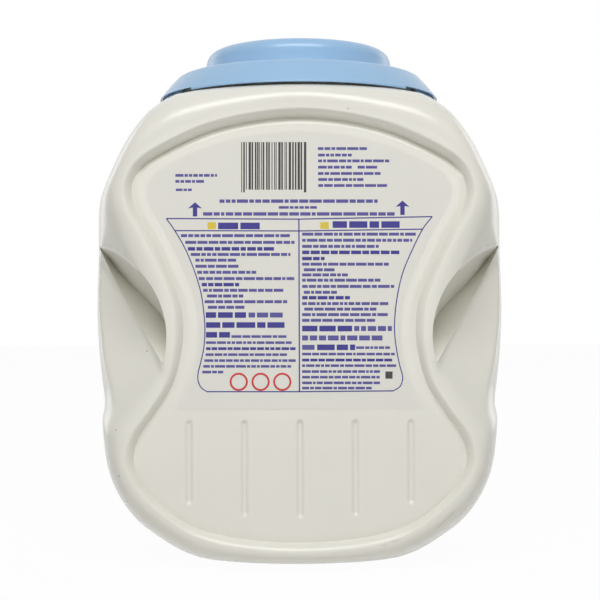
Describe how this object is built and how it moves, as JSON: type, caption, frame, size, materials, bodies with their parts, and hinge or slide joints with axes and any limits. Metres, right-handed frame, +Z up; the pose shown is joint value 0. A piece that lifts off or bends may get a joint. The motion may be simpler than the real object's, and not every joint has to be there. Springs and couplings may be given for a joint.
{
  "type": "laundry pod tub",
  "caption": "Tall blow-moulded tub with side grips, a recessed hourglass panel, a film label on its back and a round lift-off lid with press-in release tabs.",
  "frame": {"origin": "middle of the base, on the surface that the tub stands on", "axes": "+Z up through the lid, +X to the right when the label is in front of the viewer, -Y out of the labelled back"},
  "size_m": [0.2174, 0.168, 0.2682],
  "materials": {
    "tub_white": "glossy, faintly wavy blown polyethylene",
    "lid_blue": "smooth moulded polypropylene",
    "label_film": "satin film"
  },
  "bodies": {
    "tub": {"tub": "tub_white", "back_label": "label_film"},
    "lid": {"lid": "lid_blue"},
    "tab_left": {"release_tab_left": "lid_blue"},
    "tab_right": {"release_tab_right": "lid_blue"}
  },
  "joints": [
    {"name": "lid_lift", "type": "slide", "parent": "tub", "child": "lid", "axis": [0, 0, 1], "range_m": [0, 0.08]},
    {"name": "tab_left_press", "type": "hinge", "parent": "lid", "child": "tab_left", "pos_m": [-0.0685, 0, 0.2454], "axis": [0, -1, 0], "range_deg": [0, 8], "stiffness_Nm_per_rad": 0.1},
    {"name": "tab_right_press", "type": "hinge", "parent": "lid", "child": "tab_right", "pos_m": [0.0685, 0, 0.2454], "axis": [0, 1, 0], "range_deg": [0, 8], "stiffness_Nm_per_rad": 0.1}
  ]
}
